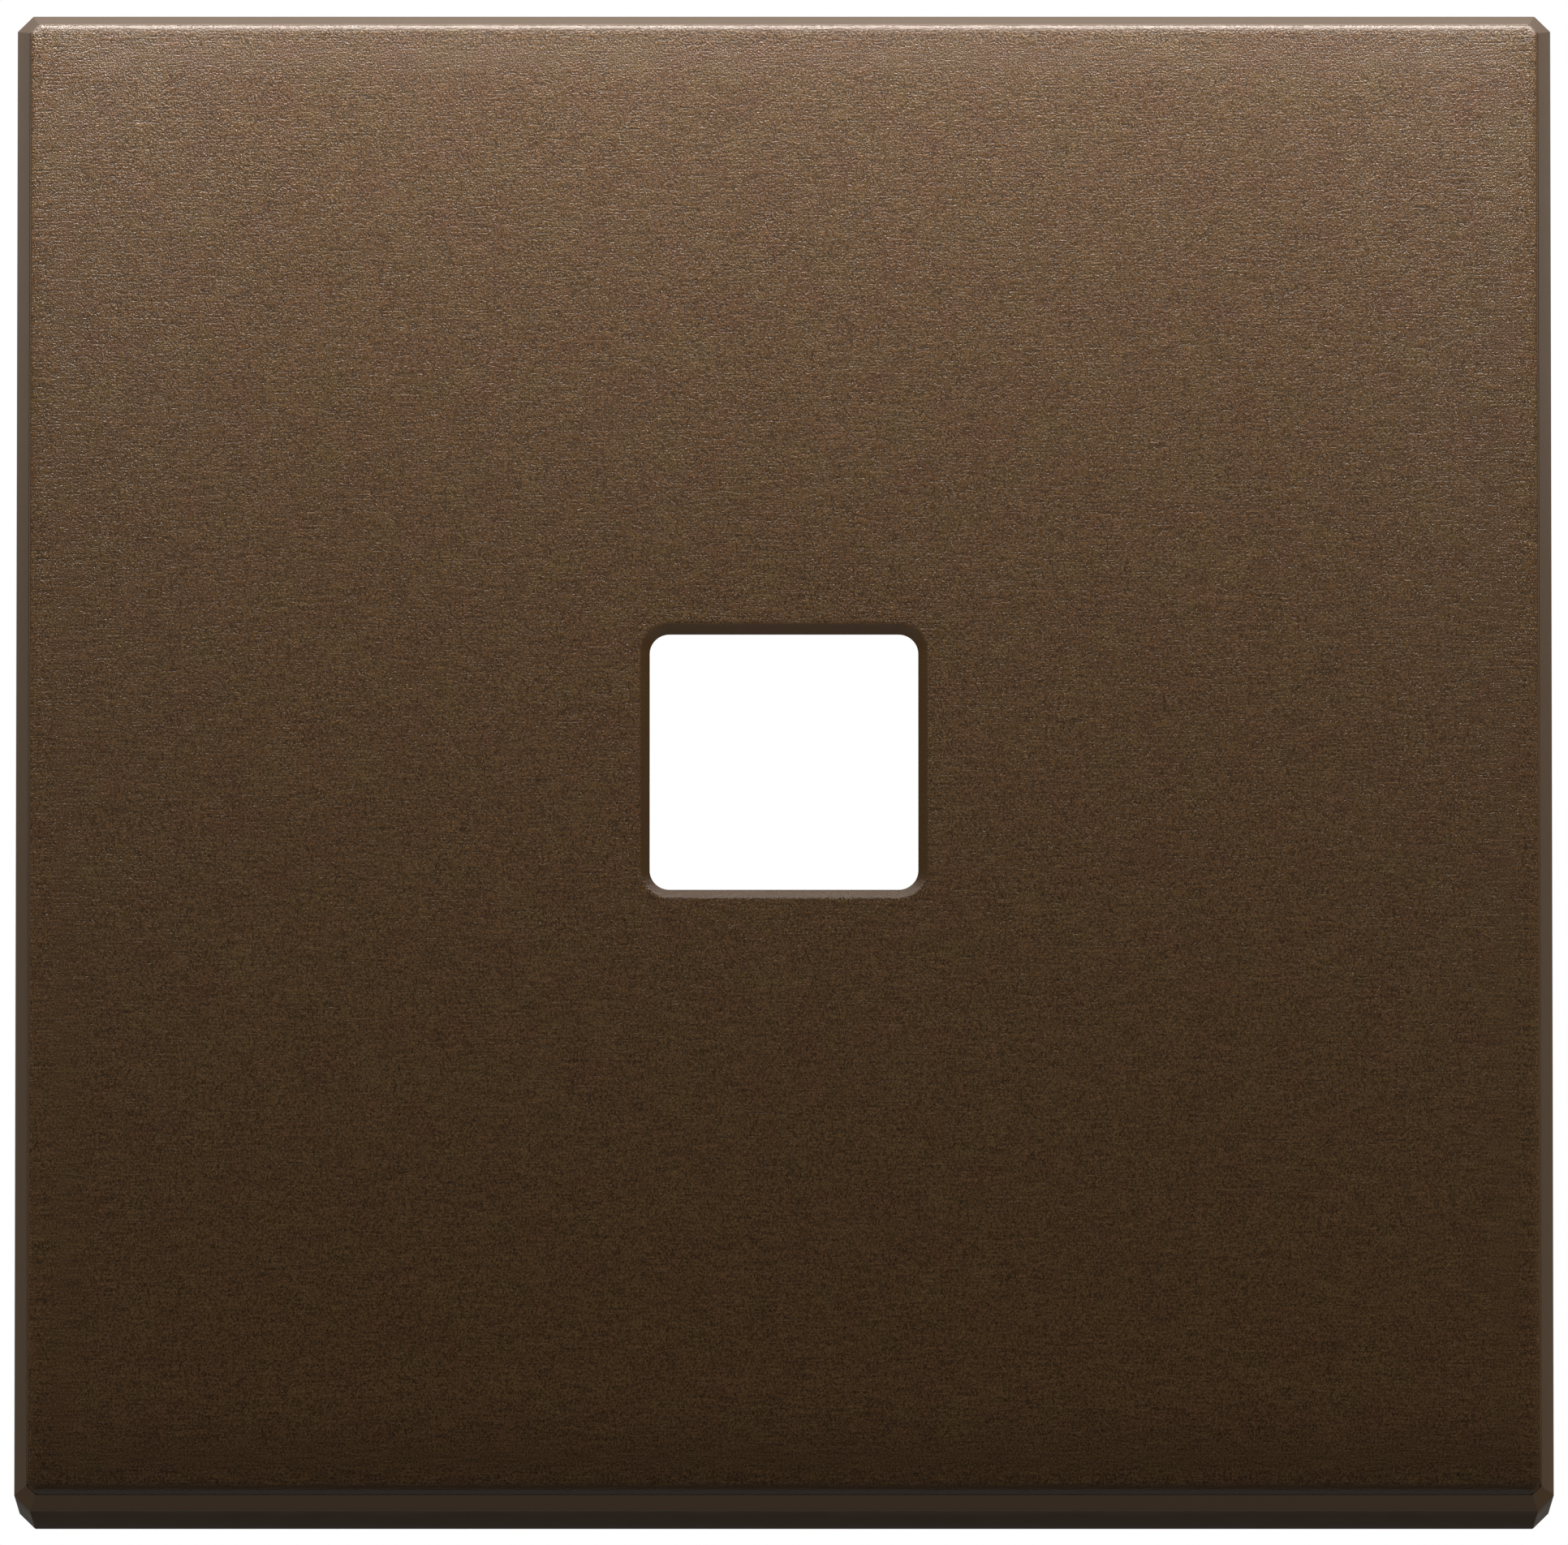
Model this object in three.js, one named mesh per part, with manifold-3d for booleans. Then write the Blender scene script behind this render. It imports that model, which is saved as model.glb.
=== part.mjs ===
// Square cover plate for a flush wall insert, with an opening for a plug, in millimetres.
// Pieces are drawn lying on their backs: x to the right, y up the wall, z towards the viewer, 0 at the rim.
// The finished group is turned upright, so that the face looks along -Y and the top is towards +Z.
import * as THREE from "three";
import { mergeVertices } from "three/addons/utils/BufferGeometryUtils.js";
import Module from "manifold-3d";

const wasm = await Module();
wasm.setup();

// Cover as a whole
const coverSize = 70; // across its widest edge, both ways
const coverHeight = 5.8; // from the rim to the face
const cornerLeg = 0.72; // leg of the flat across each upright corner
const contactGap = 0.05; // between pieces that lie on each other
const overrun = 1; // how far a cutting shape runs past what it cuts
const rooting = 0.3; // how deep a rib or post roots in its wall
const mergeDistance = 0.0001; // points closer than this are one

// Face plate, pressed from sheet and brushed
const sheetThickness = 0.7;
const faceProud = 0.35; // how far the face stands out of the shell
const rollWidth = 0.42; // rolled front edge, across the face
const rollDepth = 0.3; // rolled front edge, into the depth
const shadowGap = 0.06; // between the sheet's edge and the bevel
const faceCornerLeg = 0.4;
const faceCornerRadius = 0.22;
const sheetBackBreak = 0.1; // broken edge at the back of the sheet

// Opening in the face plate
const openingWidth = 12.3;
const openingHeight = 12;
const openingDrop = 0.2; // how far its centre lies below the centre of the plate
const openingRadius = 0.9;
const lipWidth = 0.46; // coined lip round the opening, across the face
const lipDepth = 0.18;
const lipLand = 0.12; // straight wall left behind the lip
const openingY = -openingDrop;

// Adhesive film
const filmThickness = 0.15;
const filmMargin = 1.5; // from the edge of the face plate
const filmOpeningMargin = 2; // from the opening

// Shell
const bevelWidth = 0.6;
const bevelDepth = 0.8;
const edgeSoftness = 0.12; // how far the edge between bevel and skirt is rounded
const skirtDraft = 0.27; // how far the skirt leans in from its widest edge to the rim
const rimBreak = 0.12;
const skirtWall = 1.6;
const cavityDraft = 0.15;
const cavityCornerLeg = 2.4;
const cavityRadius = 1;
const webThickness = 1.5; // wall behind the face plate
const webOpeningSize = 16;
const webOpeningRadius = 1.5;
const shellCollarWall = 1.2; // collar round the opening, behind the web
const shellCollarHeight = 1.6;
const gussetThickness = 1;
const gussetReach = 2;
const gussetRimGap = 0.9; // from the rim to the foot of a gusset
const gussetShares = [-0.72, -0.36, 0, 0.36, 0.72]; // places along half the side

// Staked posts, which hold the frame in the shell
const postRadius = 1.2;
const postClearance = 0.2;
const postHeadRadius = 2.1;
const postHeadHeight = 0.7;
const postInset = 4.2; // from the edge of the frame to the middle of a post

// Clip frame
const frameGap = 0.78; // to the gussets all round
const frameThickness = 1.4;
const frameCornerLeg = 3;
const frameRimWall = 1;
const frameRibThickness = 0.9;
const frameRibDepth = 1; // how far rim and ribs stand behind the frame
const frameRibOffset = 9; // from the middle line to each rib beside it
const frameWindowSize = 19.8;
const frameWindowRadius = 1.6;
const frameCollarWall = 1.2;
const frameCollarRise = 0.6; // how far the collar stands behind the rim of the cover
const reliefLength = 14; // windows between the ribs
const reliefWidth = 6.5;
const reliefRadius = 1;
const padLength = 7; // bearing pads
const padWidth = 4;
const padOffset = 13; // from the middle line to each pad

// Guide legs and their channels
const legAcross = 22.4; // from the middle to the mid-plane of a leg
const legAlong = 12;
const legWidth = 7.4;
const legCore = 1.8; // thickness between the two channels
const legLength = 8.1; // from the rim to the centre of its round end
const cheekWidth = 0.7;
const cheekRise = 0.4; // how far a cheek stands over the channel
const legGussetReach = 3;
const legGussetLength = 2.6; // behind the rim of the cover
const nibWidth = 1.8;
const nibLength = 1.2;
const nibDrop = 2.6; // from the rim to its middle
const nibClearance = 0.2;

// Retaining springs, formed from steel strip
const stripThickness = 0.3;
const stripSideGap = 0.2; // to the cheek on either side
const springTop = 0.4; // how far the inner limb reaches in front of the rim
const springReach = 1.7; // how far the crest stands out from the foot of the outer limb
const springLimb = 8; // height of the outer limb
// Outer limb from its foot to its end: how far out, and how far up
const springLimbShares = [[0, 0], [0.26, 0.15], [1, 0.48], [0.42, 0.8], [0.16, 0.93], [0.34, 1]];

// Smoothness
const rollSteps = 7;
const edgeSteps = 3;
const cornerTurns = 3;
const openingTurns = 8;
const roundSteps = 16;
const domeSteps = 4;
const tipSteps = 12;
const limbSteps = 30;

// Heights that follow, from the rim at zero to the face
const faceZ = coverHeight;
const sheetBackZ = faceZ - sheetThickness;
const filmFrontZ = sheetBackZ - contactGap;
const filmBackZ = filmFrontZ - filmThickness;
const shelfZ = filmBackZ - contactGap;
const webBackZ = shelfZ - webThickness;
const bevelTopZ = faceZ - faceProud;
const bevelFootZ = bevelTopZ - bevelDepth;
const frameFrontZ = webBackZ - contactGap;
const frameBackZ = frameFrontZ - frameThickness;
const frameRibZ = frameBackZ - frameRibDepth;

// Sizes that follow
const coverHalf = coverSize / 2;
const pocketHalf = coverHalf - bevelWidth;
const faceHalf = pocketHalf - shadowGap;
const offsetShare = 2 - Math.SQRT2; // how much a corner leg grows when an outline is drawn out
const pocketLeg = faceCornerLeg + shadowGap * offsetShare;
const cavityHalf = coverHalf - skirtDraft - skirtWall;
const frameHalf = cavityHalf - cavityDraft - gussetReach - frameGap;
const postReach = frameHalf - postInset; // from the middle to each row of posts
const frameWindowHalf = frameWindowSize / 2;
const frameCollarHalf = frameWindowHalf + frameCollarWall;
const reliefCentre = (frameCollarHalf + postReach - postHeadRadius) / 2; // midway from collar to post
const legHalf = legCore / 2;
const stripWidth = legWidth - 2 * (cheekWidth + stripSideGap);
const stripMid = legHalf + contactGap + stripThickness / 2; // from the leg's mid-plane to the strip's own

const point = (x, y) => new THREE.Vector2(x, y);
const bothSides = [-1, 1];
const quarterTurns = [0, 1, 2, 3].map((n) => (n * Math.PI) / 2);
const facing = (side) => (side < 0 ? Math.PI : 0); // turn of a piece made for the right side

// Corners of a square whose own corners are cut off, anticlockwise
function cutSquare(half, leg) {
  const shoulder = half - leg;
  return [
    point(half, -shoulder),
    point(half, shoulder),
    point(shoulder, half),
    point(-shoulder, half),
    point(-half, shoulder),
    point(-half, -shoulder),
    point(-shoulder, -half),
    point(shoulder, -half),
  ];
}

// Corners of a rectangle about a centre, anticlockwise
function rectangle(width, height, x = 0, y = 0) {
  return [
    point(x + width / 2, y - height / 2),
    point(x + width / 2, y + height / 2),
    point(x - width / 2, y + height / 2),
    point(x - width / 2, y - height / 2),
  ];
}

// The same outline with an arc of equal turns at every corner
function filleted(corners, radius, turns) {
  return corners.flatMap((corner, i) => {
    const back = corners.at(i - 1).clone().sub(corner).normalize();
    const ahead = corners[(i + 1) % corners.length].clone().sub(corner).normalize();
    const halfAngle = back.angleTo(ahead) / 2;
    const centre = back.clone().add(ahead).setLength(radius / Math.sin(halfAngle)).add(corner);
    const start = back.multiplyScalar(radius / Math.tan(halfAngle)).add(corner).sub(centre);
    const turn = Math.PI - 2 * halfAngle;
    return Array.from({ length: turns + 1 }, (_, n) =>
      start.clone().rotateAround(point(0, 0), (turn * n) / turns).add(centre),
    );
  });
}

// A profile corner rounded by a curve that starts and ends a softness away from it
function softened(before, corner, after, softness, steps) {
  const from = before.clone().sub(corner).setLength(softness).add(corner);
  const to = after.clone().sub(corner).setLength(softness).add(corner);
  return new THREE.QuadraticBezierCurve(from, corner, to).getPoints(steps);
}

// Closed surface through outlines of equal point count, listed from back to front as [outline, z]
function loft(sections) {
  const count = sections[0][0].length;
  const positions = sections.flatMap(([outline, z]) => outline.flatMap((p) => [p.x, p.y, z]));
  const walls = sections.slice(1).flatMap((_, level) =>
    Array.from({ length: count }, (_, i) => {
      const low = level * count + i;
      const lowNext = level * count + ((i + 1) % count);
      return [low, lowNext, lowNext + count, low, lowNext + count, low + count];
    }).flat(),
  );
  const lid = THREE.ShapeUtils.triangulateShape(sections[0][0], []);
  const front = (sections.length - 1) * count;
  const backLid = lid.flatMap(([a, b, c]) => [c, b, a]);
  const frontLid = lid.flatMap(([a, b, c]) => [front + a, front + b, front + c]);
  const geometry = new THREE.BufferGeometry();
  geometry.setAttribute("position", new THREE.Float32BufferAttribute(positions, 3));
  geometry.setIndex([...walls, ...backLid, ...frontLid]);
  return geometry;
}

// Flat sheet of an outline with holes, between two heights
function sheet(outline, holes, backZ, frontZ) {
  const shape = new THREE.Shape(outline);
  shape.holes = holes.map((hole) => new THREE.Path(hole));
  const geometry = new THREE.ExtrudeGeometry(shape, { depth: frontZ - backZ, bevelEnabled: false });
  return geometry.translate(0, 0, backZ);
}

// Profile drawn as (x, height) and carried along y
function prism(profile, width, y = 0) {
  const geometry = new THREE.ExtrudeGeometry(new THREE.Shape(profile), { depth: width, bevelEnabled: false });
  return geometry.rotateX(Math.PI / 2).translate(0, y + width / 2, 0);
}

// Profile of (radius, height) turned about an upright axis, from the axis and back to it
function turned(profile, x, y) {
  return new THREE.LatheGeometry(profile, roundSteps).rotateX(Math.PI / 2).translate(x, y, 0);
}

const disc = (radius, backZ, frontZ, x, y) =>
  turned([point(0, backZ), point(radius, backZ), point(radius, frontZ), point(0, frontZ)], x, y);

// A closed geometry as a solid that can be joined and cut
function solid(geometry) {
  const bare = new THREE.BufferGeometry();
  bare.setAttribute("position", geometry.getAttribute("position"));
  bare.setIndex(geometry.index);
  const merged = mergeVertices(bare, mergeDistance);
  const triangles = [];
  for (let i = 0; i < merged.index.count; i += 3) {
    const corners = [0, 1, 2].map((k) => merged.index.getX(i + k));
    if (new Set(corners).size === corners.length) triangles.push(...corners);
  }
  const vertProperties = merged.attributes.position.array;
  const mesh = new wasm.Mesh({ numProp: 3, vertProperties, triVerts: new Uint32Array(triangles) });
  return new wasm.Manifold(mesh);
}

const joined = (geometries) => geometries.map(solid).reduce((all, next) => all.add(next));

// A solid as a geometry that can be drawn
function drawn(made) {
  const mesh = made.getMesh();
  const geometry = new THREE.BufferGeometry();
  geometry.setAttribute("position", new THREE.BufferAttribute(mesh.vertProperties, 3));
  geometry.setIndex(new THREE.BufferAttribute(mesh.triVerts, 1));
  const flat = geometry.toNonIndexed();
  flat.computeVertexNormals();
  return flat;
}

// Outline of the opening, drawn out by a margin
const openingOutline = (margin) =>
  filleted(
    rectangle(openingWidth + 2 * margin, openingHeight + 2 * margin, 0, openingY),
    openingRadius + margin,
    openingTurns,
  );

// Square window about the opening's centre
const windowOutline = (size, radius) => filleted(rectangle(size, size, 0, openingY), radius, openingTurns);

// Face plate: a sheet with a quarter roll along its front edge and a coined lip round the opening
function makeFacePlate() {
  const roll = Array.from({ length: rollSteps + 1 }, (_, n) => {
    const angle = (n * Math.PI) / 2 / rollSteps;
    return point(rollWidth * (1 - Math.cos(angle)), faceZ - rollDepth * (1 - Math.sin(angle)));
  });
  const profile = [point(sheetBackBreak, sheetBackZ), point(0, sheetBackZ + sheetBackBreak), ...roll];
  const body = loft(
    profile.map(({ x: inset, y: height }) => [
      filleted(cutSquare(faceHalf - inset, faceCornerLeg), faceCornerRadius, cornerTurns),
      height,
    ]),
  );
  const landZ = faceZ - lipDepth - lipLand;
  const relief = landZ - sheetBackZ;
  const opening = loft([
    [openingOutline(relief + overrun), sheetBackZ - overrun],
    [openingOutline(0), landZ],
    [openingOutline(0), faceZ - lipDepth],
    [openingOutline(2 * lipWidth), faceZ + lipDepth],
  ]);
  return drawn(solid(body).subtract(solid(opening)));
}

// Adhesive film, die-cut clear of the sheet's edges
function makeFaceAdhesive() {
  const outline = cutSquare(faceHalf - filmMargin, faceCornerLeg);
  return sheet(outline, [openingOutline(filmOpeningMargin)], 0, filmThickness);
}

// Post that passes through the frame and ends in a domed head
function stakedPost(x, y) {
  const seatZ = frameBackZ - contactGap;
  const dome = Array.from({ length: domeSteps + 1 }, (_, n) => {
    const angle = (n * Math.PI) / 2 / domeSteps;
    return point(postHeadRadius * Math.sin(angle), seatZ - postHeadHeight * Math.cos(angle));
  });
  const rootZ = webBackZ + rooting;
  return turned([...dome, point(postRadius, seatZ), point(postRadius, rootZ), point(0, rootZ)], x, y);
}

// Middles of the eight posts, round the edge of the frame
const postPlaces = [-1, 0, 1]
  .flatMap((column) => [-1, 0, 1].map((row) => [column * postReach, row * postReach]))
  .filter(([x, y]) => x !== 0 || y !== 0);

// Shell: bevel, leaning skirt, shelf for the face plate, web, gussets and posts
function makeCoverShell() {
  const foot = point(skirtDraft, rimBreak);
  const top = point(bevelWidth, bevelTopZ);
  const edge = softened(foot, point(0, bevelFootZ), top, edgeSoftness, edgeSteps);
  const profile = [point(skirtDraft + rimBreak, 0), foot, ...edge, top];
  const body = loft(
    profile.map(({ x: inset, y: height }) => {
      const bevelShare = height > bevelFootZ ? inset / bevelWidth : 0;
      const leg = THREE.MathUtils.lerp(cornerLeg, pocketLeg, bevelShare);
      return [cutSquare(coverHalf - inset, leg), height];
    }),
  );
  const pocket = sheet(cutSquare(pocketHalf, pocketLeg), [], shelfZ, faceZ);
  const cavityRing = (half) => filleted(cutSquare(half, cavityCornerLeg), cavityRadius, cornerTurns);
  const cavity = loft([
    [cavityRing(cavityHalf), -overrun],
    [cavityRing(cavityHalf), 0],
    [cavityRing(cavityHalf - cavityDraft), webBackZ],
  ]);
  const collarSize = webOpeningSize + 2 * shellCollarWall;
  const collarOutline = windowOutline(collarSize, webOpeningRadius + shellCollarWall);
  const collar = sheet(collarOutline, [], webBackZ - shellCollarHeight, webBackZ + rooting);
  const web = windowOutline(webOpeningSize, webOpeningRadius);
  const opening = sheet(web, [], webBackZ - shellCollarHeight - overrun, shelfZ + overrun);
  const wallX = cavityHalf - cavityDraft;
  const gusset = [
    point(wallX + rooting, gussetRimGap),
    point(wallX, gussetRimGap),
    point(wallX - gussetReach, webBackZ),
    point(wallX - gussetReach, webBackZ + rooting),
    point(wallX + rooting, webBackZ + rooting),
  ];
  const gussets = quarterTurns.flatMap((turn) =>
    gussetShares.map((share) => prism(gusset, gussetThickness, share * cavityHalf).rotateZ(turn)),
  );
  const posts = postPlaces.map(([x, y]) => stakedPost(x, y));
  const hollow = solid(body).subtract(joined([pocket])).subtract(solid(cavity));
  return drawn(hollow.add(joined([collar, ...gussets, ...posts])).subtract(solid(opening)));
}

// Upright strip with a round end below, about the mid-plane of a leg
function legProfile(half, topZ) {
  const shape = new THREE.Shape();
  shape.moveTo(half, topZ);
  shape.lineTo(-half, topZ);
  shape.lineTo(-half, -legLength);
  shape.absarc(0, -legLength, half, Math.PI, 2 * Math.PI, false);
  return shape.getPoints(tipSteps);
}

// Guide leg: a core between two cheeks, so that the spring lies in a channel all the way round
function guideLeg(side, x, y) {
  const topZ = frameBackZ + rooting;
  const core = prism(legProfile(legHalf, topZ), legWidth);
  const cheekY = (legWidth - cheekWidth) / 2;
  const inner = -legHalf - cheekRise;
  const gusset = [
    point(rooting - legHalf, -legGussetLength),
    point(inner, -legGussetLength),
    point(inner - legGussetReach, frameBackZ),
    point(inner - legGussetReach, topZ),
    point(rooting - legHalf, topZ),
  ];
  const cheeks = bothSides.flatMap((side) => [
    prism(legProfile(legHalf + cheekRise, topZ), cheekWidth, side * cheekY),
    prism(gusset, cheekWidth, side * cheekY),
  ]);
  const nibReach = contactGap + stripThickness;
  const nib = [
    point(rooting - legHalf, -nibDrop - nibLength / 2),
    point(rooting - legHalf, -nibDrop + nibLength / 2),
    point(-legHalf - nibReach, -nibDrop + nibLength / 2),
    point(-legHalf, -nibDrop - nibLength / 2),
  ];
  const leg = [core, ...cheeks, prism(nib, nibWidth)];
  return joined(leg.map((geometry) => geometry.rotateZ(facing(side)).translate(x, y, 0)));
}

// Middles of the four legs, with the side that each spring faces
const legPlaces = bothSides.flatMap((side) =>
  bothSides.map((row) => ({ side, x: side * legAcross, y: row * legAlong })),
);

// Clip frame: ribbed plate with a collar, relief windows, bearing pads and guide legs
function makeClipFrame() {
  const outline = cutSquare(frameHalf, frameCornerLeg);
  const window = windowOutline(frameWindowSize, frameWindowRadius);
  const reliefs = quarterTurns.map((turn) =>
    filleted(rectangle(reliefWidth, reliefLength, reliefCentre), reliefRadius, cornerTurns).map((p) =>
      p.rotateAround(point(0, 0), turn),
    ),
  );
  const plate = sheet(outline, [window, ...reliefs], frameBackZ, frameFrontZ);
  const rimInside = cutSquare(frameHalf - frameRimWall, frameCornerLeg - frameRimWall * offsetShare);
  const rim = sheet(outline, [rimInside], frameRibZ, frameBackZ + rooting);
  const collarOutline = windowOutline(2 * frameCollarHalf, frameWindowRadius + frameCollarWall);
  const collar = sheet(collarOutline, [window], -frameCollarRise, frameBackZ + rooting);
  const ribStart = frameCollarHalf - rooting - openingDrop;
  const ribEnd = frameHalf - frameRimWall + rooting;
  const rib = (offset) =>
    sheet(
      rectangle(ribEnd - ribStart, frameRibThickness, (ribEnd + ribStart) / 2, offset),
      [],
      frameRibZ,
      frameBackZ + rooting,
    );
  const ribs = quarterTurns.flatMap((turn) =>
    bothSides.map((side) => rib(side * frameRibOffset).rotateZ(turn)),
  );
  const pads = bothSides.flatMap((side) =>
    bothSides.map((row) =>
      sheet(rectangle(padLength, padWidth, side * padOffset, row * postReach), [], 0, frameBackZ + rooting),
    ),
  );
  const legs = legPlaces
    .map(({ side, x, y }) => guideLeg(side, x, y))
    .reduce((all, next) => all.add(next));
  const holeRadius = postRadius + postClearance;
  const holes = postPlaces.map(([x, y]) =>
    disc(holeRadius, frameBackZ - overrun, frameFrontZ + overrun, x, y),
  );
  return drawn(joined([plate, rim, collar, ...ribs, ...pads]).add(legs).subtract(joined(holes)));
}

// Retaining spring: strip that runs down the inside of a leg, round its end and out to a crest
function makeRetainingSpring() {
  const tip = new THREE.Path();
  tip.moveTo(-stripMid, springTop);
  tip.lineTo(-stripMid, -legLength);
  tip.absarc(0, -legLength, stripMid, Math.PI, 2 * Math.PI, false);
  const limb = new THREE.SplineCurve(
    springLimbShares.map(([out, up]) => point(stripMid + out * springReach, up * springLimb - legLength)),
  );
  const middle = [...tip.getPoints(tipSteps), ...limb.getPoints(limbSteps).slice(1)];
  const across = middle.map((_, i) => {
    const before = middle[Math.max(i - 1, 0)];
    const after = middle[Math.min(i + 1, middle.length - 1)];
    const along = after.clone().sub(before).normalize();
    return point(-along.y, along.x).multiplyScalar(stripThickness / 2);
  });
  const left = middle.map((p, i) => p.clone().add(across[i]));
  const right = middle.map((p, i) => p.clone().sub(across[i]));
  const strip = prism([...left, ...right.reverse()], stripWidth);
  const slotHeight = nibLength + 2 * nibClearance;
  const slot = new THREE.BoxGeometry(overrun, nibWidth + 2 * nibClearance, slotHeight);
  slot.translate(-stripMid, 0, -nibDrop);
  return drawn(solid(strip).subtract(solid(slot)));
}

const finish = (color, roughness, metalness) =>
  new THREE.MeshStandardMaterial({ color, roughness, metalness });

const brushedBronze = finish(0x6b543e, 0.42, 0.85);
const lacqueredBronze = finish(0x574a3e, 0.38, 0.35);
const adhesiveFilm = finish(0xd8d5cc, 0.6, 0);
const mouldedBlack = finish(0x1c1c1d, 0.55, 0);
const springSteel = finish(0xb4b2ac, 0.3, 1);

// A named piece in its place
function piece(name, geometry, material, x = 0, y = 0, z = 0) {
  const mesh = new THREE.Mesh(geometry, material);
  mesh.name = name;
  mesh.position.set(x, y, z);
  return mesh;
}

const front = new THREE.Group();
front.add(piece("face_plate", makeFacePlate(), brushedBronze));
front.add(piece("face_adhesive", makeFaceAdhesive(), adhesiveFilm, 0, 0, filmBackZ));
front.add(piece("cover_shell", makeCoverShell(), lacqueredBronze));

const back = new THREE.Group();
back.add(piece("clip_frame", makeClipFrame(), mouldedBlack));
const springGeometry = makeRetainingSpring();
for (const { side, x, y } of legPlaces) {
  const name = `retaining_spring_${y > 0 ? "upper" : "lower"}_${side > 0 ? "right" : "left"}`;
  const spring = piece(name, springGeometry, springSteel, x, y);
  spring.rotation.z = facing(side);
  back.add(spring);
}

const cover = new THREE.Group();
cover.add(front, back);
cover.rotation.x = Math.PI / 2;

export default cover;
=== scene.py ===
"""Square cover plate for a flush wall insert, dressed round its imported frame, with a plain studio.

Shapes are drawn as in the part's source, lying on their backs: x to the right, y up the wall, z towards the
viewer and 0 at the rim. upright() turns them to the frame. Sizes are written in millimetres, as n * MM.
"""

import math

import bmesh
import bpy
import numpy as np
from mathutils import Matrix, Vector


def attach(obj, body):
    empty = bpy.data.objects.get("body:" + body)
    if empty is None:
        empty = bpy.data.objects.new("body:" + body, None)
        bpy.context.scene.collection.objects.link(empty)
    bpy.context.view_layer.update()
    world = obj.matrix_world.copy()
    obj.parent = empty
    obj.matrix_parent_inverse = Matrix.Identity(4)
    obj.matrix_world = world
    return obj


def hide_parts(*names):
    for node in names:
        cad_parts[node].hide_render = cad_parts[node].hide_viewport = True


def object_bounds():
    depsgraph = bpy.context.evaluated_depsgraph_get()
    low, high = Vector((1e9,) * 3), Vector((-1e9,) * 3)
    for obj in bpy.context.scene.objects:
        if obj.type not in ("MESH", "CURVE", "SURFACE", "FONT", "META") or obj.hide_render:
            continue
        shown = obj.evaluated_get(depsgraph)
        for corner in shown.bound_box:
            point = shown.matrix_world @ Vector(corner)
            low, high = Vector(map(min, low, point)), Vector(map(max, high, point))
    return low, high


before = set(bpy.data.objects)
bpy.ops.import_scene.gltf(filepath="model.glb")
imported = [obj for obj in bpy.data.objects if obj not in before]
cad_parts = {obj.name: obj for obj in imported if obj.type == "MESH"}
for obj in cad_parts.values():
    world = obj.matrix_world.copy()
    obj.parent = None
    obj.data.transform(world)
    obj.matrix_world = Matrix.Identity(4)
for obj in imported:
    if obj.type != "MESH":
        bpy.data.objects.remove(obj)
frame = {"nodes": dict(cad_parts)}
cad_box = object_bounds()

bl_info = {
    "name": "Cover plate",
    "version": (1, 0, 0),
    "blender": (4, 5, 0),
    "location": "3D View > Sidebar > Cover plate",
    "description": "Builds a square bronze cover plate for a flush wall insert, and a studio round it",
    "category": "Add Mesh",
}

MM = 0.001

# Heights of the assembly, from the rim at zero to the face
COVER_HEIGHT = 5.8 * MM
SHEET_BACK = 5.1 * MM
SHELF = 4.85 * MM
WEB_BACK = 3.35 * MM
FRAME_BACK = 1.9 * MM

# Face plate
SHADOW_GAP = 0.01 * MM  # between the sheet's edge and the bevel
FACE_CORNER_LEG = 0.4 * MM
FACE_CORNER_RADIUS = 0.4 * MM
SHEET_BACK_BREAK = 0.1 * MM
LIP_LAND = 0.12 * MM
LIP_EDGE_SOFTNESS = 0.07 * MM
SUPPORT = 0.12 * MM  # flat strip beside a rounding, which keeps the shading of the flat even
ROLL_STEPS = 10
CROWN_WIDTH = 3 * MM  # strip inside the rolled edge, along which the face falls away
CROWN_DROP = 0.055 * MM
CROWN_POWER = 2.5
CROWN_STEPS = 6

# Shell
EDGE_SOFTNESS = 0.07 * MM
BEVEL_TOP_SOFTNESS = 0.04 * MM
SKIRT_DRAFT = 0.2 * MM
RIM_BREAK = 0.08 * MM
SKIRT_WALL = 1.6 * MM
CORNER_SOFTNESS = 0.08 * MM  # radius at both ends of each corner flat
CAVITY_DRAFT = 0.15 * MM
CAVITY_CORNER_LEG = 2.4 * MM
CAVITY_RADIUS = 1 * MM
WEB_OPENING_HALF = 8 * MM
WEB_OPENING_RADIUS = 1.5 * MM
COLLAR_WALL = 1.2 * MM
COLLAR_HEIGHT = 1.6 * MM
FILLET = 0.25 * MM
ROOTING = 0.3 * MM
GUSSET_THICKNESS = 1 * MM
GUSSET_REACH = 2 * MM
GUSSET_RIM_GAP = 0.9 * MM
GUSSET_SHARES = (-0.72, -0.36, 0, 0.36, 0.72)
POST_RADIUS = 1.2 * MM
POST_HEAD_RADIUS = 2.1 * MM
POST_HEAD_HEIGHT = 0.7 * MM
POST_REACH = 26 * MM
CONTACT_GAP = 0.05 * MM
MOULD_EDGE = 0.08 * MM  # rounding of moulded edges

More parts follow.
